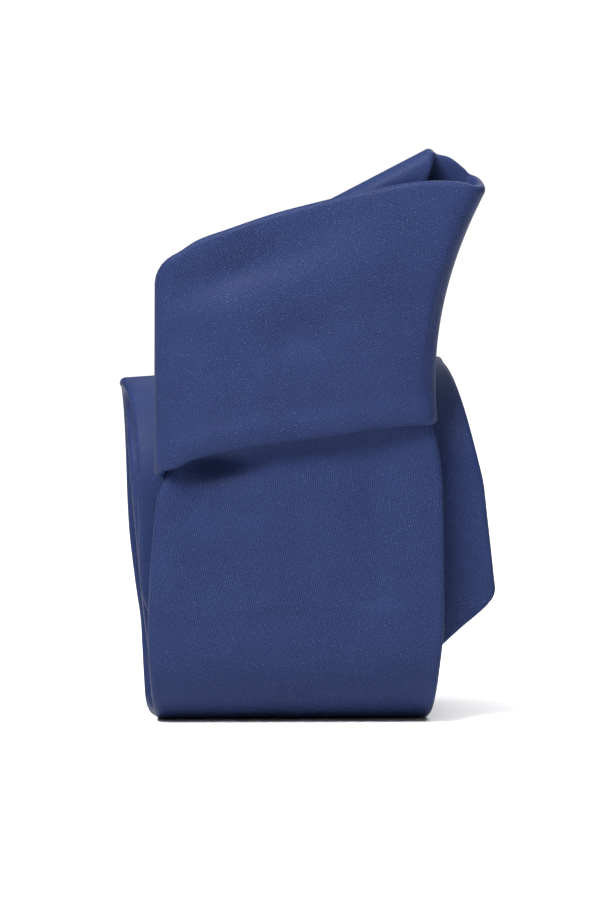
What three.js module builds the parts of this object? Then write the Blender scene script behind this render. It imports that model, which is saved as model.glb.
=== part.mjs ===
// A silk necktie, rolled up and finished with a loose wrap, standing on its bottom fold.
// The tie is one long band. It is described by stations: straight lines across the band, each from
// edge A to edge B, in order from the wide point to the narrow point. Every piece of cloth is a
// section swept along the stations between two lengths measured from the wide point.
// Millimetres, +Z up, -Y is the front, origin under the middle of the standing tie.
import * as THREE from "three";

// The standing tie
const standWidth = 85;
const standHeight = 131;
const centreX = -0.14;
// the size that the rows of places further down are written for
const drawnWidth = 85;
const drawnHeight = 131;

// The layers of the band
const silkThickness = 0.5;
const interliningThickness = 1.0;
const clothGap = 0.3;
const layerClearance = 0.3;
const labelRoom = 1.7;

// The narrow half of the band, which makes the coil inside
const coilTurns = 8;
const coilStartWidth = 45;
const neckWidth = 34;
const tailWidth = 38;
const tailPoint = 19;
const bluntTip = 2.5;
const coilTop = 70.7;

// Bends
const bottomRadius = 13;
const bottomRadiusLeft = 8;
const topFoldDepthRight = 4.6;
const rightFoldReach = 2;
const stepsPerHalfTurn = 8;
const foldSteps = 6;
const cornerSteps = 5;
const leastStep = 0.35;

// Cloth pieces, as lengths from the wide point
const neckSeamBlade = 760;
const neckSeamTail = 1060;
const interliningJoin = 900;
const bladeVee = 132;
const bladeVeeLength = 36;
const tailVeeLength = 26;
const tailVee = 62;
const bladeHem = 9;
const tailHem = 6;
const slotWidth = 2;
const tackSlot = 6;
const tackLength = 3;
const threadWidth = 0.8;
const seamGap = 1.0;
const seamThread = 0.4;
const pointClearance = 8;
const tippingTuck = 10;

// Small pieces on the back of the blade: height above the table, size across and along the band
const keeper = { z: 23, across: 46, along: 11, thick: 0.7, x: -2 };
const makerLabel = { z: 41, across: 30, along: 12, thick: 0.5, x: -8 };
const careLabel = { z: 41, across: 12, along: 12, thick: 0.5, x: 18 };
const backLean = 0.06;

const bandThickness = 2 * silkThickness + interliningThickness + 2 * clothGap;
const pitch = bandThickness + layerClearance;
const half = bandThickness / 2;
const wrapRadius = pitch;
const tightRadius = pitch / 2;
const across = standWidth / drawnWidth;
const up = standHeight / drawnHeight;

const X = (x) => x * across;
const Z = (z) => z * up;
const lerp = THREE.MathUtils.lerp;

const stations = [];

function addStation(ax, ay, az, bx, by, bz) {
  stations.push({ a: new THREE.Vector3(ax, ay, az), b: new THREE.Vector3(bx, by, bz) });
}

// Depths of the layers, from the front: wrap, front run, return, rising run, blade end, then the coil.
const wrapY = -11 * pitch;
const frontY = -10 * pitch;
const returnY = -9 * pitch;
const risingY = -8 * pitch;
const bladeEndY = -7 * pitch;
const backY = 10 * pitch + labelRoom;

// The blade end: a point that curls back along the bottom, and the panel that rises from it.
const curlY = 0.75 * pitch;
const curlZ = 10.25 * pitch;
const curlRadius = 7.75 * pitch;
const onCurl = (drop) => {
  const angle = Math.max(drop, 0) / curlRadius;
  const rise = Math.max(-drop, 0);
  return [curlY - curlRadius * Math.cos(angle), curlZ - curlRadius * Math.sin(angle) + rise];
};
// Each row: x of edge A, drop of edge A below the curl's centre, and the same for edge B.
const bladePoint = [
  [5.2, 35, 11.2, 35],
  [-3.2, 27, 17.5, 26],
  [-13.2, 18.5, 25.4, 17],
  [-24.8, 10, 33.8, 7.5],
  [-35.6, 4.2, 41.8, -1.2],
];
for (const [ax, dropA, bx, dropB] of bladePoint) {
  addStation(X(ax), ...onCurl(dropA), X(bx), ...onCurl(dropB));
}

// Above the curl the panel is flat up to where the top of the roll begins. Each row: x and share of
// that height at edge A, then at edge B.
const topRadius = (backY - bladeEndY) / 2;
const topY = (backY + bladeEndY) / 2;
const topCentreA = Z(77) - topRadius;
const topCentreB = Z(81.5) - topRadius;
const bladePanel = [
  [-37.8, 0.23, 41.6, 0.34],
  [-38.2, 0.72, 40, 0.72],
];
for (const [ax, shareA, bx, shareB] of bladePanel) {
  const az = lerp(curlZ, topCentreA, shareA);
  const bz = lerp(curlZ, topCentreB, shareB);
  addStation(X(ax), bladeEndY, az, X(bx), bladeEndY, bz);
}

// Over the top of the roll, higher at edge B, and down the back.
for (let i = 0; i <= stepsPerHalfTurn + 2; i++) {
  const part = i / (stepsPerHalfTurn + 2);
  const angle = Math.PI * part;
  const y = topY - topRadius * Math.cos(angle);
  const z = topRadius * Math.sin(angle);
  const ax = lerp(X(-38.6), X(-42), Math.min(1, 2 * part));
  const bx = lerp(X(38.4), X(31), Math.min(1, 1.6 * part));
  addStation(ax, y, topCentreA + z, bx, y, topCentreB + z);
}
addStation(X(-40.2), backY, Z(36), X(31.4), backY, Z(37));

// Round the bottom: the flat that the tie stands on lies between two corners.
function bottomCorner(y, side, fromX, toX) {
  for (let i = 0; i <= cornerSteps; i++) {
    const part = i / cornerSteps;
    const angle = 0.5 * Math.PI * (side > 0 ? 1 - part : part);
    const place = (r) => [y - side * r * (1 - Math.sin(angle)), half + r * (1 - Math.cos(angle))];
    const ax = lerp(fromX[0], toX[0], part);
    const bx = lerp(fromX[1], toX[1], part);
    addStation(ax, ...place(bottomRadiusLeft), bx, ...place(bottomRadius));
  }
}
bottomCorner(backY, 1, [X(-38), X(31.6)], [X(-36), X(30)]);
addStation(X(-35), 0, half, X(28.5), 0, half);
bottomCorner(frontY, -1, [X(-34), X(27.5)], [X(-35.7), X(30.7)]);

// The front run: x and height of edge A, then of edge B. It is pinched where the wrap holds it.
const frontRun = [
  [-35.6, 28, 30.7, 28],
  [-34.5, 43, 30.6, 43],
  [-33.1, 51, 29.9, 55],
  [-30.5, 57.4, 28.4, 62.5],
  [-30.1, 66, 26, 68],
  [-30, 76, 24.6, 82],
  [-29.6, 88, 24.2, 108],
];
for (const [ax, az, bx, bz] of frontRun) addStation(X(ax), frontY, Z(az), X(bx), frontY, Z(bz));

// A half turn about a line between two apex points, [x, z]. At each edge the band leaves depth `from`,
// reaches the apex and comes back 2 x deep away, having stood back from the apex by `reach`. `slide`
// is how far the edge drops from the start of the turn to the apex, and again to its end.
function foldOver({ apexA, apexB, outward, fromA, fromB, deepA, deepB, reachA, reachB, turn, slide = 0 }) {
  for (let i = 0; i <= foldSteps; i++) {
    const angle = (Math.PI * i) / foldSteps;
    const place = (apex, from, deep, reach) => [
      apex[0] - outward[0] * reach * (1 - Math.sin(angle)),
      from + turn * deep * (1 - Math.cos(angle)),
      apex[1] - outward[1] * reach * (1 - Math.sin(angle)),
    ];
    const [bx, by, bz] = place(apexB, fromB, deepB, reachB);
    addStation(...place(apexA, fromA, deepA, reachA), bx, by, bz + slide * Math.cos(angle));
  }
}

// Over the slanting top fold and down to the right behind.
foldOver({
  apexA: [X(-27.4), Z(100.4)],
  apexB: [X(28.2), Z(129.1)],
  outward: [-0.46, 0.89],
  fromA: frontY,
  fromB: frontY,
  deepA: tightRadius,
  deepB: topFoldDepthRight,
  reachA: tightRadius,
  reachB: tightRadius,
  turn: 1,
});
const flourishY = frontY + 2 * topFoldDepthRight;
addStation(X(-10), returnY, Z(90.5), X(31.5), flourishY, Z(126.3));
addStation(X(9), returnY, Z(80), X(34.4), flourishY, Z(124));

// The fold on the right brings it forward over the front run.
foldOver({
  apexA: [X(29.2), Z(68.6)],
  apexB: [X(38.9), Z(121.4)],
  outward: [1, 0],
  fromA: returnY,
  fromB: flourishY,
  deepA: wrapRadius,
  deepB: (flourishY - wrapY) / 2,
  reachA: wrapRadius,
  reachB: rightFoldReach,
  turn: -1,
});

// The wrap travels left and a little down across the front.
const wrap = [
  [24, 68.4, 31, 123.4],
  [18.5, 68, 22.5, 122.4],
  [6, 66.4, 7.2, 118.8],
  [-12, 64, -10.8, 114],
  [-24, 61.9, -23.6, 108.6],
];
for (const [ax, az, bx, bz] of wrap) addStation(X(ax), wrapY, Z(az), X(bx), wrapY, Z(bz));

// Round the left edge of the front run and in behind it.
foldOver({
  apexA: [X(-33.3), Z(59.2)],
  apexB: [X(-33.3), Z(100.6)],
  outward: [-1, 0],
  fromA: wrapY,
  fromB: wrapY,
  deepA: wrapRadius,
  deepB: wrapRadius,
  reachA: wrapRadius,
  reachB: wrapRadius,
  turn: 1,
  slide: Z(4.4),
});
addStation(X(-20), returnY, Z(55.5), X(-28.6), returnY, Z(95.3));

// A slanting fold turns it down, in front of the blade end.
foldOver({
  apexA: [X(12), Z(46)],
  apexB: [X(-24), Z(92.5)],
  outward: [0.79, 0.61],
  fromA: returnY,
  fromB: returnY,
  deepA: tightRadius,
  deepB: tightRadius,
  reachA: tightRadius,
  reachB: tightRadius,
  turn: 1,
});
addStation(X(9.4), risingY, Z(38), X(-28.8), risingY, Z(68));

// The coil: half turns about two centres, from the outside in. Its left edges lie almost together.
const coilBottom = 10 * pitch;
const coilTopRadius = 7.5 * pitch;
const coilTopCentre = Z(coilTop) - coilTopRadius;
const coilLeft = (z) => X(-37.2 - (4.2 * (z - coilBottom)) / Z(45));
const coilHalfTurns = 2 * coilTurns;
const coilWidth = (part) => {
  const narrowing = lerp(coilStartWidth, neckWidth, Math.min(1, part / 0.25));
  return narrowing + (tailWidth - neckWidth) * Math.max(0, (part - 0.45) / 0.55);
};
for (let turn = 0; turn < coilHalfTurns; turn++) {
  const below = turn % 2 === 0;
  const radius = turn === 0 ? 8.5 * pitch : (7.5 - 0.5 * (turn - 1)) * pitch;
  const centreY = below ? (turn === 0 ? 0.5 : 1) * pitch : 1.5 * pitch;
  const centreZ = below ? coilBottom + (turn === 0 ? 0 : 0.5 * pitch) : coilTopCentre;
  const steps = radius > 3 * pitch ? stepsPerHalfTurn : 6;
  for (let i = 0; i <= steps; i++) {
    const angle = (Math.PI * i) / steps;
    const sign = below ? -1 : 1;
    const y = centreY + sign * radius * Math.cos(angle);
    const z = centreZ + sign * radius * Math.sin(angle);
    const part = (turn + i / steps) / coilHalfTurns;
    const settled = turn === 0 ? i / steps : 1;
    const left = lerp(X(-35.4), coilLeft(z), settled);
    const width = X(coilWidth(part));
    addStation(left + width, y, z, left, y, z);
  }
}

// The narrow point ends in the middle of the coil.
const tailY = pitch;
const tailEnd = coilBottom + 0.5 * pitch;
const tailLeft = coilLeft(tailEnd);
const tailMiddle = tailLeft + X(tailWidth) / 2;
const shoulderZ = tailEnd + tailPoint;
if (shoulderZ < coilTopCentre) {
  addStation(tailLeft + X(tailWidth), tailY, shoulderZ, tailLeft, tailY, shoulderZ);
}
addStation(tailMiddle + bluntTip, tailY, tailEnd, tailMiddle - bluntTip, tailY, tailEnd);

// Lengths along the band, and the outward normals at both edges.
for (let i = 0; i < stations.length; i++) {
  const here = stations[i];
  const before = stations[Math.max(0, i - 1)];
  const after = stations[Math.min(stations.length - 1, i + 1)];
  const middle = (station) => station.a.clone().add(station.b).multiplyScalar(0.5);
  here.s = i === 0 ? 0 : before.s + middle(here).distanceTo(middle(before));
  const over = here.b.clone().sub(here.a).normalize();
  here.na = over.clone().cross(after.a.clone().sub(before.a)).normalize();
  here.nb = over.clone().cross(after.b.clone().sub(before.b)).normalize();
}
const bandLength = stations[stations.length - 1].s;

// The station at any length, between its two neighbours.
function stationAt(s) {
  let i = 1;
  while (i < stations.length - 1 && stations[i].s < s) i++;
  const from = stations[i - 1];
  const to = stations[i];
  const part = (s - from.s) / (to.s - from.s);
  const mix = (key) => from[key].clone().lerp(to[key], part);
  return { s, a: mix("a"), b: mix("b"), na: mix("na").normalize(), nb: mix("nb").normalize() };
}

// Where the back flaps of the shell part, measured across the band: wide open near both points,
// closing to a vee, a little wider again at the tack, then a narrow slot.
function slotAt(s, width) {
  const ends = [
    { from: s, hem: bladeHem, vee: bladeVee, length: bladeVeeLength },
    { from: bandLength - s, hem: tailHem, vee: tailVee, length: tailVeeLength },
  ];
  let slot = slotWidth;
  for (const { from, hem, vee, length } of ends) {
    const open = Math.max(width - 2 * hem, 2);
    const closing = THREE.MathUtils.clamp((vee - from) / length, 0, 1);
    const pastTack = THREE.MathUtils.clamp((from - vee - 2 * tackLength) / tackLength, 0, 1);
    slot = Math.max(slot, from < vee ? lerp(tackSlot, open, closing) : lerp(tackSlot, slotWidth, pastTack));
  }
  return Math.min(slot, width - 4 * silkThickness);
}
const slotMarks = [
  bladeVee - bladeVeeLength, bladeVee, bladeVee + 2 * tackLength, bladeVee + 3 * tackLength,
  bandLength - tailVee + tailVeeLength, bandLength - tailVee,
  bandLength - tailVee - 2 * tackLength, bandLength - tailVee - 3 * tackLength,
];

// Sweeps a section along the band. The section is a closed outline of [across, outward] points,
// worked out for a length and the width of the band there.
function sweep(from, to, section) {
  const inside = [...stations.map((station) => station.s), ...slotMarks]
    .filter((s) => s > from + leastStep && s < to - leastStep)
    .sort((p, q) => p - q)
    .filter((s, i, all) => i === 0 || s - all[i - 1] > leastStep);
  const rings = [from, ...inside, to].map((s) => {
    const { a, b, na, nb } = stationAt(s);
    const width = a.distanceTo(b);
    return section(s, width).map(([x, y]) => {
      const part = x / width;
      const out = na.clone().lerp(nb, part).normalize();
      return a.clone().lerp(b, part).addScaledVector(out, y);
    });
  });
  const size = rings[0].length;
  const positions = rings.flat().flatMap((point) => point.toArray());
  const index = [];
  // Every strip is split from edge A to edge B of the next ring, so neighbouring layers twist alike.
  const start = section(from, stationAt(from).a.distanceTo(stationAt(from).b));
  for (let ring = 0; ring < rings.length - 1; ring++) {
    for (let j = 0; j < size; j++) {
      const next = (j + 1) % size;
      const p = ring * size + j;
      const q = ring * size + next;
      if (start[j][0] < start[next][0]) index.push(p, p + size, q + size, p, q + size, q);
      else index.push(p, p + size, q, q, p + size, q + size);
    }
  }
  const cap = (s, first, flip) => {
    const outline = section(s, stationAt(s).a.distanceTo(stationAt(s).b));
    const faces = THREE.ShapeUtils.triangulateShape(outline.map(([x, y]) => new THREE.Vector2(x, y)), []);
    for (const [p, q, r] of faces) index.push(first + p, first + (flip ? r : q), first + (flip ? q : r));
  };
  cap(from, 0, false);
  cap(to, (rings.length - 1) * size, true);
  const geometry = new THREE.BufferGeometry();
  geometry.setAttribute("position", new THREE.Float32BufferAttribute(positions, 3));
  geometry.setIndex(index);
  geometry.computeVertexNormals();
  return geometry;
}

const rectangle = (x0, x1, y0, y1) => [[x0, y0], [x1, y0], [x1, y1], [x0, y1]];

// The silk: a flat tube with its back left open along the slot. Counter-clockwise from the back of edge A.
function shellSection(s, width) {
  const slot = slotAt(s, width);
  const left = (width - slot) / 2;
  const right = (width + slot) / 2;
  const wall = silkThickness;
  return [
    [0, -half], [left, -half], [left, wall - half], [wall, wall - half], [wall, half - wall],
    [width - wall, half - wall], [width - wall, wall - half], [right, wall - half], [right, -half],
    [width, -half], [width, half], [0, half],
  ];
}

function interliningSection(s, width) {
  const side = silkThickness + clothGap;
  return rectangle(side, width - side, side - half, half - side);
}

// The lining lies in the opening between the hems.
function tippingSection(s, width) {
  const slot = slotAt(s, width) - 2 * clothGap;
  return rectangle((width - slot) / 2, (width + slot) / 2, -half, silkThickness - half);
}

const inSlot = (wide) => (s, width) =>
  rectangle((width - wide) / 2, (width + wide) / 2, -half, silkThickness - half);

const seamSection = (s, width) =>
  rectangle(2 * silkThickness, width - 2 * silkThickness, half - silkThickness, half);

// The origin is under the middle of the standing tie, so the roll is moved to it.
const tie = new THREE.Group();
const roll = new THREE.Group();
roll.position.set(X(-centreX), -(wrapY + backY) / 2, 0);
tie.add(roll);

function addCloth(name, color, geometry, roughness = 0.5) {
  const mesh = new THREE.Mesh(geometry, new THREE.MeshStandardMaterial({ color, roughness, metalness: 0 }));
  mesh.name = name;
  roll.add(mesh);
  return mesh;
}

// Colours
const silkColour = 0x2c3a70;
const liningColour = 0x273463;
const woolColour = 0xd9d3c4;
const threadColour = 0x26315c;
const labelColour = 0x1f2747;

addCloth("blade_shell", silkColour, sweep(0, neckSeamBlade, shellSection));
addCloth("neck_shell", silkColour, sweep(neckSeamBlade + seamGap, neckSeamTail, shellSection));
addCloth("tail_shell", silkColour, sweep(neckSeamTail + seamGap, bandLength, shellSection));

const bladeWool = sweep(pointClearance, interliningJoin, interliningSection);
addCloth("blade_interlining", woolColour, bladeWool, 0.95);
const tailWool = sweep(interliningJoin + 2 * clothGap, bandLength - pointClearance, interliningSection);
addCloth("tail_interlining", woolColour, tailWool, 0.95);

const bladeLining = sweep(pointClearance + 2, bladeVee - tippingTuck, tippingSection);
addCloth("blade_tipping", liningColour, bladeLining, 0.6);
const tailLining = sweep(bandLength - tailVee + tippingTuck, bandLength - pointClearance, tippingSection);
addCloth("tail_tipping", liningColour, tailLining, 0.6);

// The tacks lie across the slot where the vee closes; the slip stitch runs on between them.
const tackWidth = tackSlot - 2 * clothGap;
const bladeTackStart = bladeVee + 1;
const tailTackEnd = bandLength - tailVee - 1;
const bladeTack = sweep(bladeTackStart, bladeTackStart + tackLength, inSlot(tackWidth));
addCloth("blade_bar_tack", threadColour, bladeTack);
const tailTack = sweep(tailTackEnd - tackLength, tailTackEnd, inSlot(tackWidth));
addCloth("tail_bar_tack", threadColour, tailTack);
const threadStart = bladeTackStart + tackLength + 1;
const threadEnd = tailTackEnd - tackLength - 1;
addCloth("slip_stitch_thread", threadColour, sweep(threadStart, threadEnd, inSlot(threadWidth)));

// Seam stitching sits in the gap between neighbouring shells.
for (const [name, start] of [["blade_neck_seam", neckSeamBlade], ["tail_neck_seam", neckSeamTail]]) {
  const from = start + (seamGap - seamThread) / 2;
  addCloth(name, threadColour, sweep(from, from + seamThread, seamSection));
}

// Pieces sewn flat on the back of the blade, where it runs down the back of the roll.
for (const [name, color, piece] of [
  ["keeper_loop", silkColour, keeper],
  ["maker_label_blank", labelColour, makerLabel],
  ["care_label_blank", labelColour, careLabel],
]) {
  const mesh = addCloth(name, color, new THREE.BoxGeometry(piece.across, piece.thick, piece.along));
  mesh.position.set(X(piece.x), backY - half - clothGap - piece.thick / 2, Z(piece.z));
  mesh.rotation.y = backLean;
}

export default tie;
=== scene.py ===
import math

import bpy
import numpy as np
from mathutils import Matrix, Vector


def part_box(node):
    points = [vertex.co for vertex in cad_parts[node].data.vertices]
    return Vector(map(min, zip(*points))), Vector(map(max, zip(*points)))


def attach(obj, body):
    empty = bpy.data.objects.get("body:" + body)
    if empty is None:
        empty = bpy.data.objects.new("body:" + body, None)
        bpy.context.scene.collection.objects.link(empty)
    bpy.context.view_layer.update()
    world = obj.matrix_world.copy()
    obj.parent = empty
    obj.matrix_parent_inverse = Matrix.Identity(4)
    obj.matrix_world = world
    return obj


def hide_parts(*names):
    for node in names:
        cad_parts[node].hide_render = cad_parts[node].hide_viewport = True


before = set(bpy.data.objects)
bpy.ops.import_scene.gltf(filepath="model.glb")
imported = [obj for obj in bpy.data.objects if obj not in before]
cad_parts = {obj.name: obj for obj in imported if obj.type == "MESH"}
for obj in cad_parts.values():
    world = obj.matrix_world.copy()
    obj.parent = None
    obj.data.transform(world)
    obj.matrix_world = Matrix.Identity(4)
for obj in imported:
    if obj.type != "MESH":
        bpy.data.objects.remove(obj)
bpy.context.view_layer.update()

# ---------------------------------------------------------------------------------------------
# Camera. A long lens a few degrees above level, aimed just below the middle of the tie, so that
# upright edges hardly converge.
# ---------------------------------------------------------------------------------------------
view_height = 0.2055
view_distance = 1.8
view_centre = Vector((-0.0015, 0, 0.0603))
view_elevation = math.radians(4)
sensor = 0.036
far_clip = 100

camera_data = bpy.data.cameras.new("camera")
camera_data.sensor_fit = "VERTICAL"
camera_data.sensor_height = sensor * 1000
camera_data.lens = sensor * 1000 * view_distance / view_height
camera_data.clip_end = far_clip
camera = bpy.data.objects.new("camera", camera_data)
bpy.context.scene.collection.objects.link(camera)
back_off = Vector((0, -math.cos(view_elevation), math.sin(view_elevation)))
camera.location = view_centre + back_off * view_distance
camera.rotation_euler = (-back_off).to_track_quat("-Z", "Y").to_euler()
bpy.context.scene.camera = camera
bpy.context.scene.view_settings.view_transform = "Standard"

# ---------------------------------------------------------------------------------------------
# Floor and studio light. A plain pale floor, a soft key from the front left, a fill from the
# front, a lamp behind the right side, and a broad sun overhead.
# ---------------------------------------------------------------------------------------------
floor_size, floor_colour, floor_roughness = 60, (0.93, 0.93, 0.94, 1), 0.8
world_strength = 0.16
lamp_aim = Vector((0, 0, 0.07))

bpy.ops.object.select_all(action="DESELECT")
bpy.ops.mesh.primitive_plane_add(size=floor_size, location=(0, 0, 0))
floor = bpy.context.object
floor.name = "floor"
floor_paint = bpy.data.materials.new("floor_paint")
floor_paint.use_nodes = True
floor_shader = floor_paint.node_tree.nodes["Principled BSDF"]
floor_shader.inputs["Base Color"].default_value = floor_colour
floor_shader.inputs["Roughness"].default_value = floor_roughness
floor.data.materials.append(floor_paint)

world = bpy.data.worlds.new("studio")
bpy.context.scene.world = world
world.use_nodes = True
world.node_tree.nodes["Background"].inputs["Color"].default_value = (1, 1, 1, 1)
world.node_tree.nodes["Background"].inputs["Strength"].default_value = world_strength


def add_lamp(name, place, size, power):
    lamp_data = bpy.data.lights.new(name, "AREA")
    lamp_data.size = size
    lamp_data.energy = power
    lamp = bpy.data.objects.new(name, lamp_data)
    bpy.context.scene.collection.objects.link(lamp)
    lamp.location = place
    aim = lamp_aim - Vector(place)
    lamp.rotation_euler = aim.to_track_quat("-Z", "Y").to_euler()


add_lamp("key", (-0.15, -0.31, 0.5), 0.22, 6.0)
add_lamp("fill", (0.1, -1.3, 0.8), 0.9, 1.5)
add_lamp("back", (0.3, 0.9, 0.8), 0.6, 5.0)

# A broad overhead sun keeps the floor white as far back as it is seen.
sun_strength, sun_spread, sun_lean = 3.3, 70, 12
sun_data = bpy.data.lights.new("overhead", "SUN")
sun_data.energy = sun_strength
sun_data.angle = math.radians(sun_spread)
sun = bpy.data.objects.new("overhead", sun_data)
bpy.context.scene.collection.objects.link(sun)
sun.rotation_euler = (math.radians(sun_lean), 0, 0)

# ---------------------------------------------------------------------------------------------
# The route of the band. The tie is one long lined band, rolled flat from its narrow end and
# finished with a loose wrap. Its rows run from the wide point: edge A, edge B and how far the
# middle stands off the straight line between them, in millimetres.
# ---------------------------------------------------------------------------------------------
mm = 0.001
thick = 2.6
half = thick / 2
pitch = 2.9
label_room = 1.7
wrap_y = -11 * pitch
front_y = -10 * pitch
return_y = -9 * pitch
rising_y = -8 * pitch
blade_end_y = -7 * pitch
back_y = 10 * pitch + label_room

rows = []
marks = {}


def row(ax, ay, az, bx, by, bz, mx=0.0, my=0.0, mz=0.0):
    rows.append((ax, ay, az, bx, by, bz, mx, my, mz))


def between(low, high, part):
    return low + (high - low) * part


# The wide point curls back along the bottom; the panel above it rises inside the front.
curl_y = 0.75 * pitch
curl_z = 10.25 * pitch
curl_radius = 7.75 * pitch


def on_curl(drop):
    angle = max(drop, 0) / curl_radius
    y = curl_y - curl_radius * math.cos(angle)
    return y, curl_z - curl_radius * math.sin(angle) + max(-drop, 0)


blade_end = [
    (5.2, 37.4, 11.2, 37.4),
    (-3.2, 29.4, 17.6, 28.4),
    (-13.2, 20.9, 25.6, 18.8),
    (-24.8, 12.2, 34.2, 9.2),
    (-35.6, 5.6, 42.6, 0.4),
    (-37.8, -1, 42.2, -3.5),
    (-38.1, -8, 41.4, -11),
    (-38.2, -16, 40.6, -18),
]
for ax, drop_a, bx, drop_b in blade_end:
    row(ax, *on_curl(drop_a), bx, *on_curl(drop_b))

# Over the top of the roll, higher at edge B, and down the back.
roll_top_a, roll_top_b = 75.2, 80.2
top_radius = (back_y - blade_end_y) / 2
top_y = (back_y + blade_end_y) / 2
top_centre_a = roll_top_a - top_radius
top_centre_b = roll_top_b - top_radius
arc_steps = 28
# Edge A starts here, spreads out up to the top and draws in a little behind it.
arc_a, arc_a_spread, arc_a_draw = -38.4, 4.6, 1.1
# Edge B draws in from its place at the front to its place at the back.
arc_b_front, arc_b_back, arc_b_rate = 39.8, 31, 2.2
for i in range(arc_steps + 1):
    part = i / arc_steps
    y = top_y - top_radius * math.cos(math.pi * part)
    rise = top_radius * math.sin(math.pi * part)
    ax = arc_a - arc_a_spread * min(1, 2 * part) ** 2 + arc_a_draw * max(0, 2 * part - 1)
    bx = between(arc_b_front, arc_b_back, min(1, arc_b_rate * part))
    row(ax, y, top_centre_a + rise, bx, y, top_centre_b + rise)
for az, ax, bz, bx in [(41, -41.5, 41, 31.2), (26, -39.8, 27, 31.8)]:
    row(ax, back_y, az, bx, back_y, bz)


# The flat that the tie stands on lies between two round corners, one radius for each edge.
corner_radii = (17, 20)
corner_steps = 10


def bottom_corner(y, side, from_x, to_x):
    for i in range(corner_steps + 1):
        part = i / corner_steps
        angle = 0.5 * math.pi * ((1 - part) if side > 0 else part)
        places = []
        for radius in corner_radii:
            places.append(y - side * radius * (1 - math.sin(angle)))
            places.append(half + radius * (1 - math.cos(angle)))
        ax, bx = between(from_x[0], to_x[0], part), between(from_x[1], to_x[1], part)
        row(ax, places[0], places[1], bx, places[2], places[3])


bottom_corner(back_y, 1, (-38.7, 31.6), (-37.2, 29))
row(-36.2, 0, half, 28, 0, half)
bottom_corner(front_y, -1, (-34.4, 27.5), (-35.9, 30.8))

# The front run, pinched where the wrap holds it: x and height of edge A, then of edge B.
front_run = [
    (-35.8, 24, 30.8, 28),
    (-35.6, 31, 30.8, 34),
    (-34.9, 41, 30.7, 43),
    (-34, 50, 30.4, 55),
    (-33.2, 54, 29.9, 60.5),
    (-31, 57.8, 29.2, 64),
    (-30.1, 65, 27.4, 69.5),
    (-30, 76, 24.6, 84),
    (-29.6, 88, 24.4, 108),
]
marks["front run"] = len(rows)
for ax, az, bx, bz in front_run:
    row(ax, front_y, az, bx, front_y, bz)
marks["top fold"] = len(rows)


fold_steps = 16


def fold_over(apex_a, apex_b, outward, start, deep, reach, turn, slide=(0, 0), follow=1, hollow=0):
    """A half turn about the line between two apex points, (x, z). Pairs are for edges A and B:
    the depth it starts at, the radius, and how far it stands back from the apex. An edge slides
    down on its way round, by less after the apex where follow is under 1."""
    for i in range(fold_steps + 1):
        angle = math.pi * i / fold_steps
        ends = []
        for k, apex in enumerate((apex_a, apex_b)):
            pull = reach[k] * (1 - math.sin(angle))
            ends.append(apex[0] - outward[0] * pull)
            ends.append(start[k] + turn * deep[k] * (1 - math.cos(angle)))
            fall = slide[k] * math.cos(angle)
            ends.append(apex[1] - outward[1] * pull + (fall if fall > 0 else fall * follow))
        row(*ends, hollow)


# Over the slanting top fold and down to the right behind. It is tight at edge A, open at B.
top_fold_a, top_fold_b = 1.5, 4.6
fold_over(
    (-27.4, 100.4), (28.4, 129.2), (-0.46, 0.89),
    (front_y, front_y), (top_fold_a, top_fold_b), (top_fold_a, 0.4), 1,
)
flourish_y = front_y + 2 * top_fold_b
row(-10, return_y, 90.5, 31.8, flourish_y, 127.9, -0.5, 1.2)
row(9, return_y, 80, 35.2, flourish_y, 125.4, -1.5, 1.5)

# The fold on the right brings it forward over the front run.
fold_over(
    (28.2, 68), (39.4, 121.7), (1, 0),
    (return_y, flourish_y), (pitch, (flourish_y - wrap_y) / 2), (pitch, 2), -1,
    slide=(0, 2), follow=0, hollow=-4.4,
)

# The wrap travels left and a little down across the front.
wrap = [
    (23.6, 68, 35.4, 122.6, -1.4, -0.4),
    (18.5, 67.6, 28, 123, -0.8, -0.9),
    (12, 66.7, 15.5, 121.2, -0.4, -1.2),
    (2, 65.2, 2.5, 118.2, 0, -1.1),
    (-8, 63.8, -7.5, 115.6, 0, -0.9),
    (-18, 62.3, -17.5, 112.2, 0, -0.7),
    (-26, 60.2, -25, 109.5, 0, -0.3),
]
marks["wrap"] = len(rows)
for ax, az, bx, bz, mx, my in wrap:
    row(ax, wrap_y, az, bx, wrap_y, bz, mx, my)
marks["left fold"] = len(rows)

# Round the left edge of the front run and in behind it.
fold_over(
    (-33.3, 56.4), (-33.1, 100.6), (-1, 0),
    (wrap_y, wrap_y), (pitch, pitch), (pitch, pitch), 1, slide=(1.6, 5.6), follow=0.8,
)
row(-20, return_y, 54.5, -28.6, return_y, 95.3)

# A slanting fold turns it down, in front of the wide point.
fold_over(
    (12, 46), (-24, 92.5), (0.79, 0.61),
    (return_y, return_y), (0.5 * pitch, 0.5 * pitch), (0.5 * pitch, 0.5 * pitch), 1,
)
row(9.4, rising_y, 38, -28.8, rising_y, 68)

# The narrow half is wound in half turns about two centres. Its left edges lie almost together,
# on a slanting line that they waver about.
coil_bottom = 10 * pitch
coil_top_centre = 70.7 - 7.5 * pitch
half_turns = 16
coil_edge, coil_edge_lean, edge_waver, waver_rate = -37.2, 4.2 / 45, 0.35, 2.4
coil_start_x, coil_start_width, neck_width, tail_width = -35.4, 45, 34, 38
narrow_by, widen_from = 0.25, 0.45
tail_point, blunt_tip = 18.3, 2.5


def coil_left(z, turn):
    waver = edge_waver * math.sin(waver_rate * turn)
    return coil_edge - coil_edge_lean * (z - coil_bottom) + waver


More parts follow.
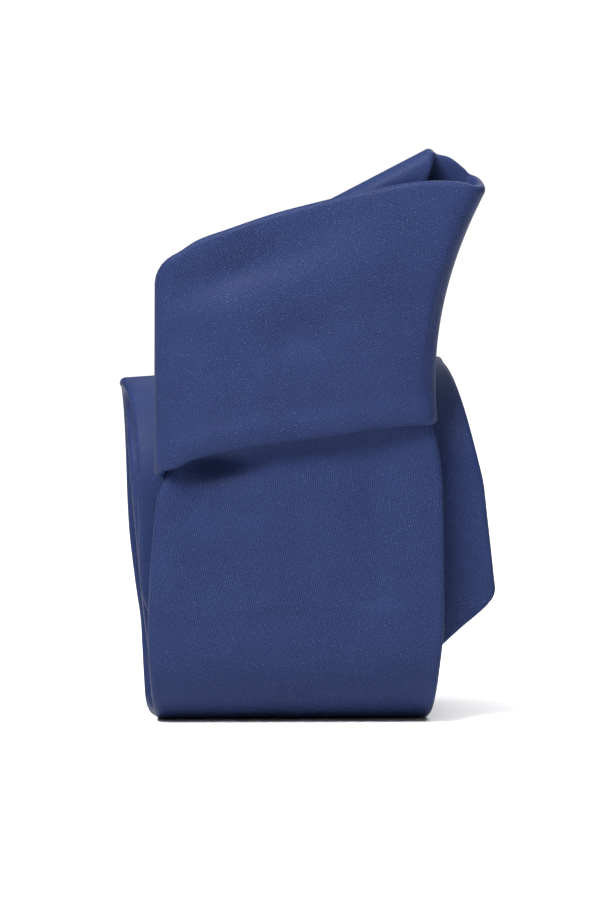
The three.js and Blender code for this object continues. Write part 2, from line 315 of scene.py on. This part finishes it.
marks["coil"] = len(rows)
for turn in range(half_turns):
    below = turn % 2 == 0
    radius = 8.5 * pitch if turn == 0 else (8 - 0.5 * turn) * pitch
    centre_y = (0.5 if turn == 0 else 1 if below else 1.5) * pitch
    centre_z = coil_bottom + (0 if turn == 0 else 0.5 * pitch) if below else coil_top_centre
    steps = max(8, int(radius))
    for i in range(steps + 1):
        angle = math.pi * i / steps
        sign = -1 if below else 1
        y = centre_y + sign * radius * math.cos(angle)
        z = centre_z + sign * radius * math.sin(angle)
        part = (turn + i / steps) / half_turns
        left = coil_left(z, turn + i / steps)
        if turn == 0:
            left = between(coil_start_x, left, i / steps)
        width = between(coil_start_width, neck_width, min(1, part / narrow_by))
        width += (tail_width - neck_width) * max(0, (part - widen_from) / (1 - widen_from))
        row(left + width, y, z, left, y, z)
tail_end = coil_bottom + 0.5 * pitch
tail_left = coil_left(tail_end, half_turns)
tail_middle = tail_left + tail_width / 2
tail_shoulder = tail_end + tail_point
row(tail_left + tail_width, pitch, tail_shoulder, tail_left, pitch, tail_shoulder)
row(tail_middle + blunt_tip, pitch, tail_end, tail_middle - blunt_tip, pitch, tail_end)

# The rows become a smooth grid of points: even steps along the band, even columns across it.
along_step = 1.1
columns = 61
blur_reach = 3
same_place = 0.05
table = np.array(rows)
middles = (table[:, 0:3] + table[:, 3:6]) / 2
steps_between = np.linalg.norm(np.diff(middles, axis=0), axis=1)
places = np.concatenate([[0], np.cumsum(steps_between)])
mark_s = {name: places[i] for name, i in marks.items()}
keep = np.concatenate([[True], steps_between > same_place])
table, middles = table[keep], middles[keep]
row_s = np.concatenate([[0], np.cumsum(np.linalg.norm(np.diff(middles, axis=0), axis=1))])
band_length = row_s[-1]
grid_s = np.linspace(0, band_length, int(band_length / along_step) + 1)


def smooth_through(places, values, wanted):
    """A curve through all the rows whose slope never overshoots, one column at a time."""
    gap = np.diff(places)
    slope = np.diff(values) / gap
    tangent = np.zeros_like(values)
    same = slope[:-1] * slope[1:] > 0
    wide, narrow = 2 * gap[1:] + gap[:-1], gap[1:] + 2 * gap[:-1]
    safe = np.where(same, slope[:-1] * slope[1:], 1)
    blended = (wide + narrow) * safe / (wide * slope[1:] + narrow * slope[:-1] + 1e-12 * ~same)
    tangent[1:-1] = np.where(same, blended, 0)
    tangent[0], tangent[-1] = slope[0], slope[-1]
    k = np.clip(np.searchsorted(places, wanted) - 1, 0, len(gap) - 1)
    part = (wanted - places[k]) / gap[k]
    return (
        (2 * part**3 - 3 * part**2 + 1) * values[k]
        + (part**3 - 2 * part**2 + part) * gap[k] * tangent[k]
        + (3 * part**2 - 2 * part**3) * values[k + 1]
        + (part**3 - part**2) * gap[k] * tangent[k + 1]
    )


edges = np.stack([smooth_through(row_s, column, grid_s) for column in table.T], axis=1)
soft = np.exp(-0.5 * np.arange(-blur_reach, blur_reach + 1.0) ** 2)
soft /= soft.sum()
ends = edges[:1].repeat(blur_reach, 0), edges[-1:].repeat(blur_reach, 0)
padded = np.concatenate([ends[0], edges, ends[1]])
edges = np.stack([np.convolve(column, soft, "valid") for column in padded.T], axis=1)

grid_t = np.linspace(0, 1, columns)
t3 = grid_t[None, :, None]
grid = edges[:, None, 0:3] * (1 - t3) + edges[:, None, 3:6] * t3
grid += 4 * t3 * (1 - t3) * edges[:, None, 6:9]


# Soft dents, and ridges where the depth is negative, that folding leaves in the two front layers:
# the layer, x and height of the middle, half sizes, lean in degrees and depth.
def press(layer, x, z, wide, tall, lean, depth):
    on = (grid_s >= layer[0]) & (grid_s <= layer[1])
    dx, dz = grid[on, :, 0] - x, grid[on, :, 2] - z
    turn = math.radians(lean)
    side = (dx * math.cos(turn) + dz * math.sin(turn)) / wide
    rise = (dz * math.cos(turn) - dx * math.sin(turn)) / tall
    grid[on, :, 1] += depth * np.exp(-(side**2) - rise**2)


wrap_lead = 5
on_front = mark_s["front run"], mark_s["top fold"]
on_wrap = mark_s["wrap"] - wrap_lead, mark_s["left fold"]
press(on_front, -24, 52, 5, 8, -8, 0.9)
press(on_front, -31, 45, 4, 18, 4, -0.9)
press(on_front, 15, 44, 6, 22, 0, 1.2)
press(on_front, 25, 48, 5, 20, 2, -0.6)
press(on_front, -7, 40, 8, 24, 0, -0.9)
press(on_front, 0, 62, 22, 5, 4, 0.7)
press(on_wrap, -15, 103, 16, 5, 20, 2.1)
press(on_wrap, -3, 88, 8, 5, 12, 1.5)
press(on_wrap, 10, 103, 15, 9, 14, -1.2)
press(on_wrap, -20, 76, 12, 9, 6, -0.6)
press(on_wrap, -18, 65, 12, 6, 8, -1)
press(on_wrap, 16, 80, 12, 8, 10, -0.5)

# The fold along the lower edge of the wrap stays a little swollen.
hem_swell, hem_place, hem_spread = 0.7, 3.4, 2.2
in_wrap = ((grid_s > on_wrap[0]) & (grid_s < on_wrap[1]))[:, None]
from_edge = np.linalg.norm(grid - grid[:, :1], axis=2)
swell = hem_swell * np.exp(-(((from_edge - hem_place) / hem_spread) ** 2))
grid[:, :, 1] -= np.where(in_wrap, swell, 0)

# The turns of the coil all bow a little towards the back, where there is room for it.
coil_bow, coil_ease, bow_fullness = 0.9, 40, 0.7
in_coil = np.clip((grid_s - mark_s["coil"]) / coil_ease, 0, 1)[:, None]
grid[:, :, 1] += coil_bow * in_coil * np.sin(math.pi * grid_t)[None, :] ** bow_fullness

# The pocket below the left end of the hem goes into all the layers behind it, less and less.
pocket_x, pocket_z, pocket_wide, pocket_tall = -21.5, 60.3, 7.5, 4.1
pocket_deep, pocket_fade = 5.2, 9
behind_wrap = grid[:, :, 1] > front_y - half
pocket = ((grid[:, :, 0] - pocket_x) / pocket_wide) ** 2
pocket += ((grid[:, :, 2] - pocket_z) / pocket_tall) ** 2
sunk = pocket_deep * np.exp(-pocket - np.maximum(grid[:, :, 1] - front_y, 0) / pocket_fade)
grid[:, :, 1] += np.where(behind_wrap, sunk, 0)

# The route is set on the frame by the blade shell's own box.
low, high = (Vector(corner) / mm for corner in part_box("blade_shell"))
route_left, route_right = -42.08, 41.8
route_front, route_back = wrap_y - half, back_y + half
grid[:, :, 0] += (low.x + high.x) / 2 - (route_left + route_right) / 2
grid[:, :, 1] += (low.y + high.y) / 2 - (route_front + route_back) / 2

along = np.gradient(grid, axis=0)
sideways = np.gradient(grid, axis=1)
normals = np.cross(sideways, along)
normals /= np.linalg.norm(normals, axis=2, keepdims=True)
widths = np.linalg.norm(edges[:, 3:6] - edges[:, 0:3], axis=1)


def band_at(s, t):
    """Points and outward normals at length s, for an array of places across."""
    f = np.clip(s / band_length, 0, 1) * (len(grid_s) - 1)
    i = min(int(f), len(grid_s) - 2)
    part = f - i
    g = np.clip(t, 0, 1) * (columns - 1)
    j = np.minimum(g.astype(int), columns - 2)
    q = (g - j)[:, None]

    def pick(field):
        one = field[i][j] * (1 - q) + field[i][j + 1] * q
        two = field[i + 1][j] * (1 - q) + field[i + 1][j + 1] * q
        return one * (1 - part) + two * part

    n = pick(normals)
    return pick(grid), n / np.linalg.norm(n, axis=1, keepdims=True)


def width_at(s):
    return float(np.interp(s, grid_s, widths))


def swept(name, first, last, section, step=along_step):
    """Sweeps a section of two matching paths, outer and inner, and closes it at both ends."""
    rings = max(2, int((last - first) / step) + 1)
    verts, uvs = [], []
    for s in np.linspace(first, last, rings):
        width = width_at(s)
        outer, inner = section(s, width)
        path = np.concatenate([outer, inner])
        points, outward = band_at(s, path[:, 0] / width)
        verts.append(points + outward * path[:, 1:2])
        uvs.append(np.stack([path[:, 0], np.full(len(path), s)], axis=1))
    size = len(path)
    k = size // 2
    faces = []
    for i in range(rings - 1):
        a, b = i * size, (i + 1) * size
        for j in range(k - 1):
            faces.append((a + j, a + j + 1, b + j + 1, b + j))
            faces.append((a + k + j + 1, a + k + j, b + k + j, b + k + j + 1))
        faces.append((a + k, a, b, b + k))
        faces.append((a + k - 1, a + size - 1, b + size - 1, b + k - 1))
    end = (rings - 1) * size
    for j in range(k - 1):
        faces.append((j + 1, j, k + j, k + j + 1))
        faces.append((end + j, end + j + 1, end + k + j + 1, end + k + j))
    mesh = bpy.data.meshes.new(name)
    mesh.from_pydata((np.concatenate(verts) * mm).tolist(), [], faces)
    uv = mesh.uv_layers.new(name="band")
    flat_uv = np.concatenate(uvs) * mm
    corners = np.empty(len(mesh.loops), dtype=np.int32)
    mesh.loops.foreach_get("vertex_index", corners)
    uv.data.foreach_set("uv", flat_uv[corners].ravel())
    mesh.polygons.foreach_set("use_smooth", [True] * len(mesh.polygons))
    piece = bpy.data.objects.new(name, mesh)
    bpy.context.scene.collection.objects.link(piece)
    return piece


# ---------------------------------------------------------------------------------------------
# Silk. Navy satin, cut on the bias, with fine slanting floats and tiny bright specks that are
# painted glints.
# It is the face of the whole tie, and the keeper loop is made of it too.
# ---------------------------------------------------------------------------------------------
class Wire:
    """A shader socket that can be added, multiplied and so on."""

    def __init__(self, tree, socket):
        self.tree, self.socket = tree, socket

    def maths(self, operation, other, swap=False):
        a, b = (other, self) if swap else (self, other)
        return Shader.node(self, "ShaderNodeMath", {"operation": operation}, {0: a, 1: b})

    def __add__(self, other):
        return self.maths("ADD", other)

    def __sub__(self, other):
        return self.maths("SUBTRACT", other)

    def __rsub__(self, other):
        return self.maths("SUBTRACT", other, True)

    def __mul__(self, other):
        return self.maths("MULTIPLY", other)

    __radd__, __rmul__ = __add__, __mul__


class Shader:
    """A new material's node tree, with its nodes, colour mixes and bumps made in one call each."""

    def __init__(self, name):
        self.material = bpy.data.materials.new(name)
        self.material.use_nodes = True
        self.tree = self.material.node_tree
        self.principled = self.tree.nodes["Principled BSDF"]

    def node(self, kind, settings=None, inputs=None, output=0):
        made = self.tree.nodes.new(kind)
        for key, value in (settings or {}).items():
            setattr(made, key, value)
        for key, value in (inputs or {}).items():
            if isinstance(value, Wire):
                self.tree.links.new(value.socket, made.inputs[key])
            else:
                made.inputs[key].default_value = value
        return Wire(self.tree, made.outputs[output])

    def set(self, **values):
        for key, value in values.items():
            socket = self.principled.inputs[key.replace("_", " ")]
            if isinstance(value, Wire):
                self.tree.links.new(value.socket, socket)
            else:
                socket.default_value = value

    def on_band(self):
        """The piece's own map, in metres, and its two parts: across the band and along it."""
        place = self.node("ShaderNodeUVMap", {"uv_map": "band"})
        u, v = (self.node("ShaderNodeSeparateXYZ", {}, {0: place}, part) for part in (0, 1))
        return place, u, v

    def noise(self, place, scale, detail):
        inputs = {"Vector": place, "Scale": scale, "Detail": detail}
        return self.node("ShaderNodeTexNoise", {}, inputs)

    def sine(self, phase):
        return self.node("ShaderNodeMath", {"operation": "SINE"}, {0: phase})

    def mix(self, factor, a, b):
        return self.node("ShaderNodeMix", {"data_type": "RGBA"}, {0: factor, 6: a, 7: b}, 2)

    def bump(self, height, distance, strength):
        inputs = {"Height": height, "Distance": distance, "Strength": strength}
        return self.node("ShaderNodeBump", {}, inputs)


def woven(name, dark, light, pitch_m, lean, roughness, sheen, painted_glints=0.0, depth=0.00004):
    """Cloth on the band's own map: floats at a lean to the band, broken up by noise."""
    patch_scale, fibre_scale, glint_scale = 90.0, 2600.0, 5000.0
    cross_pitch, float_waver, cross_waver = 1.7, 2.3, 5.0
    # The colour and spread of the tiny bright specks, which are painted glints of light.
    glint_least, glint_full, glint_colour = 0.75, 0.82, (0.16, 0.2, 0.38, 1)
    cloth = Shader(name)
    place, u, v = cloth.on_band()
    turn = math.radians(lean)
    broad = cloth.noise(place, patch_scale, 3.0)
    fine = cloth.noise(place, fibre_scale, 2.0)
    float_line = (u * math.cos(turn) + v * math.sin(turn)) * (2 * math.pi / pitch_m)
    cross_line = (v * math.cos(turn) - u * math.sin(turn)) * (2 * math.pi / (cross_pitch * pitch_m))
    floats = cloth.sine(float_line + fine * float_waver)
    crossing = cloth.sine(cross_line + fine * cross_waver)
    yarn = floats * 0.42 + crossing * 0.08 + 0.5
    tone = yarn * 0.5 + fine * 0.6 + broad * 0.25 - 0.18
    colour = cloth.mix(tone, dark, light)
    # Tiny bright specks mixed into the colour are painted glints of light on the satin.
    if painted_glints:
        span = {"From Min": glint_least, "From Max": glint_full, "To Min": 0.0, "To Max": painted_glints}
        speck = cloth.noise(place, glint_scale, 0.0)
        bright = cloth.node("ShaderNodeMapRange", {}, {"Value": speck, **span})
        colour = cloth.mix(bright, colour, glint_colour)
    bumped = cloth.bump(yarn + fine * 0.5, depth, 0.55)
    cloth.set(Base_Color=colour, Roughness=roughness + broad * 0.12, Normal=bumped)
    cloth.set(Sheen_Weight=sheen, Specular_IOR_Level=0.05)
    return cloth.material


navy_dark, navy_light = (0.005, 0.008, 0.026, 1), (0.02, 0.033, 0.1, 1)
navy_satin = woven("navy_satin", navy_dark, navy_light, 0.00048, 13, 0.45, 0.0, painted_glints=0.5)

silk_thick = 0.4
flap_gap = 0.15
coil_fullness = 0.12
hem_width_blade, hem_width_tail = 9, 6
blade_vee, blade_vee_length = 132, 36
tail_vee, tail_vee_length = 62, 26


def opening_at(s, width):
    """How far apart the two back flaps stand: wide at the points, nearly closed after the vee."""
    opening = flap_gap
    ends = (
        (s, hem_width_blade, blade_vee, blade_vee_length),
        (band_length - s, hem_width_tail, tail_vee, tail_vee_length),
    )
    for from_end, hem, vee, length in ends:
        fully_open = max(width - 2 * hem, 1.5)
        closing = min(1, max(0, (vee - from_end) / length))
        opening = max(opening, fully_open * closing)
    return min(opening, width - 3 * silk_thick)


def shell_section(s, width):
    """Round the back of edge A, over the front and round edge B to the back again."""
    opening = opening_at(s, width)
    paths = []
    # the coiled half is wound tight, so its layers fill the room between them
    full = half + coil_fullness * min(1, max(0, (s - mark_s["coil"]) / coil_ease))
    for inset in (0, silk_thick):
        radius = full - inset
        turn = np.linspace(-math.pi / 2, math.pi / 2, 9)
        flap = np.linspace((width - opening) / 2, half, 7)[:-1]
        left = np.stack([half - radius * np.cos(turn), radius * np.sin(turn)], axis=1)
        face = np.linspace(half, width - half, 42)[1:-1]
        right = np.stack([width - half + radius * np.cos(turn), -radius * np.sin(turn)], axis=1)
        # the right turn runs from the front to the back
        right = right[np.argsort(-right[:, 1], kind="stable")]
        front = np.stack([face, np.full(len(face), radius)], axis=1)
        back = [
            np.stack([x, np.full(len(x), -radius)], axis=1) for x in (flap, width - flap[::-1])
        ]
        paths.append(np.concatenate([back[0], left, front, right, back[1]]))
    return paths


# ---------------------------------------------------------------------------------------------
# The three silk pieces of the shell. Each is folded round the interlining so that its edges
# meet at the middle of the back. Slanting seams join blade, neck and tail.
# ---------------------------------------------------------------------------------------------
blade_seam, tail_seam, seam_gap = 760, 1060, 0.35


def add_shell(name, first, last):
    """One length of the shell. It is cut twice as wide as the band, to be folded round it."""
    shell = swept(name + "_silk", first, last, shell_section)
    shell.data.materials.append(navy_satin)
    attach(shell, "root")
    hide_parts(name)


add_shell("blade_shell", 0, blade_seam)
add_shell("neck_shell", blade_seam + seam_gap, tail_seam)
add_shell("tail_shell", tail_seam + seam_gap, band_length)

# ---------------------------------------------------------------------------------------------
# Interlining. Two joined strips of brushed wool, sealed inside the silk, which give the tie its
# body. They are cut on the bias like the shell and only caught by the slip stitch.
# ---------------------------------------------------------------------------------------------
wool_dark, wool_light = (0.5, 0.46, 0.37, 1), (0.72, 0.68, 0.58, 1)
wool = woven("brushed_wool", wool_dark, wool_light, 0.0016, 45, 0.85, 0.5, depth=0.00025)
wool_thick, wool_margin, wool_join, join_gap, point_clearance = 1.0, 1.0, 900, 0.6, 8
strip_points = 14


def flat_strip(x0, x1, y0, y1):
    """Two straight paths across the band, the outer at y1 and the inner at y0."""
    x = np.linspace(x0, x1, strip_points)
    return [np.stack([x, np.full(strip_points, y)], axis=1) for y in (y1, y0)]


def wool_section(s, width):
    return flat_strip(wool_margin, width - wool_margin, -wool_thick / 2, wool_thick / 2)


def add_strip(name, node, first, last, section, material, step=2.0):
    """A strip of cloth along the band that stands for one CAD node."""
    strip = swept(name, first, last, section, step)
    strip.data.materials.append(material)
    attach(strip, "root")
    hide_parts(node)
    across = [np.ptp(section(s, width_at(s))[0][:, 0]) for s in np.linspace(first, last, 60)]
    length, broadest = (last - first) * mm, max(across) * mm
    area = float(np.mean(across)) * mm * length


add_strip("wool_wide", "blade_interlining", point_clearance, wool_join, wool_section, wool)
add_strip(
    "wool_narrow", "tail_interlining", wool_join + join_gap, band_length - point_clearance,
    wool_section, wool,
)

# ---------------------------------------------------------------------------------------------
# Tipping. Thin navy lining that covers the back of each point, laid between the turned hems and
# felled to them by hand.
# ---------------------------------------------------------------------------------------------
lining_dark, lining_light = (0.008, 0.013, 0.046, 1), (0.03, 0.044, 0.125, 1)
lining = woven("lining", lining_dark, lining_light, 0.0003, 45, 0.5, 0.1, depth=0.00001)
tipping_thick, tipping_under_flaps = 0.25, 10
tipping_gap, tipping_inset = 0.2, 0.1


def tipping_section(s, width):
    opening = opening_at(s, width) - tipping_gap
    back = tipping_inset - half
    return flat_strip((width - opening) / 2, (width + opening) / 2, back, back + tipping_thick)


add_strip(
    "blade_lining", "blade_tipping", point_clearance, blade_vee - tipping_under_flaps,
    tipping_section, lining, step=along_step,
)
add_strip(
    "tail_lining", "tail_tipping", band_length - tail_vee + tipping_under_flaps,
    band_length - point_clearance, tipping_section, lining,
    step=along_step,
)

# ---------------------------------------------------------------------------------------------
# Thread. One stitch is a short, slightly swollen length of twisted silk with its ends sunk into
# the cloth. It is modelled once; every row of stitching is made of copies.
# ---------------------------------------------------------------------------------------------
thread_dark, thread_light, twist_scale = (0.01, 0.016, 0.055, 1), (0.05, 0.07, 0.2, 1), 5200.0
object_output = 3
thread_silk = Shader("navy_thread")
thread_place = thread_silk.node("ShaderNodeTexCoord", {}, {}, object_output)
thread_twist = thread_silk.noise(thread_place, twist_scale, 2.0)
thread_silk.set(
    Base_Color=thread_silk.mix(thread_twist, thread_dark, thread_light),
    Roughness=thread_twist * 0.25 + 0.35,
    Normal=thread_silk.bump(thread_twist, 0.00005, 0.6),
)

bpy.ops.object.select_all(action="DESELECT")
bpy.ops.mesh.primitive_cylinder_add(vertices=8, radius=0.5, depth=1, end_fill_type="NGON")
stitch = bpy.context.object
bpy.ops.object.mode_set(mode="EDIT")
bpy.ops.mesh.select_all(action="DESELECT")
bpy.ops.object.mode_set(mode="OBJECT")
for face in stitch.data.polygons:
    face.select = abs(face.normal.z) > 0.9
bpy.ops.object.mode_set(mode="EDIT")
bpy.ops.mesh.select_mode(type="FACE")
bpy.ops.mesh.bevel(offset=0.22, segments=2, affect="EDGES")
bpy.ops.mesh.select_all(action="DESELECT")
bpy.ops.object.mode_set(mode="OBJECT")
stitch_points = np.array([v.co[:] for v in stitch.data.vertices])
stitch_faces = [tuple(face.vertices) for face in stitch.data.polygons]
bpy.data.objects.remove(stitch)


def add_stitching(name, node, marks):
    """Copies of the stitch, joined into one piece. A mark is a length, a place across, how far
    off the middle of the cloth, the stitch's size along, across and out, and its lean."""
    verts, faces = [], []
    for s, x, out, long, wide, lean in marks:
        width = width_at(s)
        nearby = [band_at(s + d, np.array([x / width, (x + 0.5) / width])) for d in (0, 0.5)]
        origin, outward = nearby[0][0][0], nearby[0][1][0]
        forward = nearby[1][0][0] - origin
        forward -= outward * forward.dot(outward)
        forward /= np.linalg.norm(forward)
        side = np.cross(forward, outward)
        turn = math.radians(lean)
        way = forward * math.cos(turn) + side * math.sin(turn)
        cross = np.cross(outward, way)
        start = len(verts)
        for px, py, pz in stitch_points:
            verts.append(origin + cross * px * wide + outward * (out + py * wide) + way * pz * long)
        faces += [tuple(start + i for i in face) for face in stitch_faces]
    mesh = bpy.data.meshes.new(name)
    mesh.from_pydata((np.array(verts) * mm).tolist(), [], faces)
    mesh.polygons.foreach_set("use_smooth", [True] * len(mesh.polygons))
    mesh.materials.append(thread_silk.material)
    piece = bpy.data.objects.new(name, mesh)
    bpy.context.scene.collection.objects.link(piece)
    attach(piece, "root")
    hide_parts(node)


# The slip stitch closes the back from tack to tack, in long, slightly slanting stitches.
back_face = -half
slip_wide, slip_step, slip_long, slip_lean, slip_from_vee = 0.35, 5.0, 2.4, 12, 8
slip_first, slip_last = blade_vee + slip_from_vee, band_length - tail_vee - slip_from_vee
slip_marks = [
    (s, width_at(s) / 2, back_face, slip_long, slip_wide, slip_lean)
    for s in np.arange(slip_first, slip_last, slip_step)
]
add_stitching("slip_stitches", "slip_stitch_thread", slip_marks)

# A bar tack is a bundle of strands laid across the end of the closed back.
tack_strands, tack_step, tack_wide, tack_rise, tack_from_vee = 8, 0.36, 0.42, 0.1, 2.5


def tack_marks(middle, reach):
    return [
        (
            middle + (i - tack_strands / 2) * tack_step, width_at(middle) / 2,
            back_face - tack_rise, reach, tack_wide, 90,
        )
        for i in range(tack_strands)
    ]


add_stitching("blade_tack", "blade_bar_tack", tack_marks(blade_vee + tack_from_vee, 5.0))
tail_tack_place = band_length - tail_vee - tack_from_vee
add_stitching("tail_tack", "tail_bar_tack", tack_marks(tail_tack_place, 4.0))

# The joining seams are rows of short stitches right across the front.
seam_long, seam_step, seam_wide, seam_margin, seam_sink = 1.8, 1.8 * 1.25, 0.25, 2.0, 0.15
for name, node, s in (
    ("blade_seam_stitches", "blade_neck_seam", blade_seam),
    ("tail_seam_stitches", "tail_neck_seam", tail_seam),
):
    places = np.arange(seam_margin, width_at(s) - seam_margin, seam_step)
    seam_marks = [(s + seam_gap / 2, x, half - seam_sink, seam_long, seam_wide, 90) for x in places]
    add_stitching(name, node, seam_marks)

# ---------------------------------------------------------------------------------------------
# Keeper loop. A narrow folded tube of the same silk that stands a little off the back of the
# blade, so that the tail can pass under it. Its ends are sewn down.
# ---------------------------------------------------------------------------------------------
patch_points, patch_step, patch_clearance = 24, 0.6, 0.08


def place_on_band(node):
    """Length along the band and place across it, of the point nearest to a CAD node's middle."""
    box_low, box_high = (np.array(corner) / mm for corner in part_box(node))
    away = np.linalg.norm(grid - (box_low + box_high) / 2, axis=2)
    i, j = np.unravel_index(np.argmin(away), away.shape)
    return grid_s[i], grid_t[j] * widths[i]


def sewn_patch(name, node, long, wide, cloth_thick, rise, material):
    """A small cloth patch on the back of the band. Rise is how far its middle stands off."""
    s, x = place_on_band(node)
    across = np.linspace(-wide / 2, wide / 2, patch_points)
    lift = rise * (1 - (2 * across / wide) ** 6)

    def section(_, width):
        near = np.stack([x + across, -half - patch_clearance - lift], axis=1)
        far = np.stack([x + across, -half - patch_clearance - lift - cloth_thick], axis=1)
        return near, far

    add_strip(name, node, s - long / 2, s + long / 2, section, material, step=patch_step)


keeper_long, keeper_wide, keeper_thick, keeper_rise = 10, 44, 0.55, 0.45
sewn_patch(
    "keeper_band", "keeper_loop", keeper_long, keeper_wide, keeper_thick, keeper_rise,
    navy_satin,
)

# ---------------------------------------------------------------------------------------------
# Labels. Two blank woven patches, a navy one with a pale woven border for the maker and a small
# pale one for care. Both are sewn to the back of the blade.
# ---------------------------------------------------------------------------------------------
label_thick, label_rise = 0.3, 0.05
rib_pitch, border_inset, border_half = 0.0004, 0.0014, 0.0003


def label_cloth(name, ground, border, middle_s, middle_x, long, wide):
    """Blank tape: fine ribs, and a thin border line woven just inside the edge."""
    tape = Shader(name)
    place, u, v = tape.on_band()
    rib = tape.sine(v * (2 * math.pi / rib_pitch))
    from_side = tape.node("ShaderNodeMath", {"operation": "ABSOLUTE"}, {0: u - middle_x * mm})
    from_end = tape.node("ShaderNodeMath", {"operation": "ABSOLUTE"}, {0: v - middle_s * mm})
    inside = tape.node(
        "ShaderNodeMath", {"operation": "MINIMUM"},
        {0: wide / 2 * mm - from_side, 1: long / 2 * mm - from_end},
    )
    line = tape.node(
        "ShaderNodeMath", {"operation": "COMPARE"}, {0: inside, 1: border_inset, 2: border_half}
    )
    noise = tape.noise(place, 3000.0, 2.0)
    base = tape.mix(noise * 0.5 + rib * 0.1, ground, tuple(min(1, c * 1.7) for c in ground))
    tape.set(Base_Color=tape.mix(line, base, border), Roughness=noise * 0.2 + 0.4)
    tape.set(Normal=tape.bump(rib * 0.5 + line, 0.00004, 0.5))
    return tape.material


for name, node, long, wide, ground, border in (
    ("maker_patch", "maker_label_blank", 12, 30, (0.01, 0.014, 0.045, 1), (0.42, 0.44, 0.5, 1)),
    ("care_patch", "care_label_blank", 12, 12, (0.5, 0.48, 0.43, 1), (0.28, 0.28, 0.3, 1)),
):
    label_s, label_x = place_on_band(node)
    tape = label_cloth(name + "_tape", ground, border, label_s, label_x, long, wide)
    sewn_patch(name, node, long, wide, label_thick, label_rise, tape)
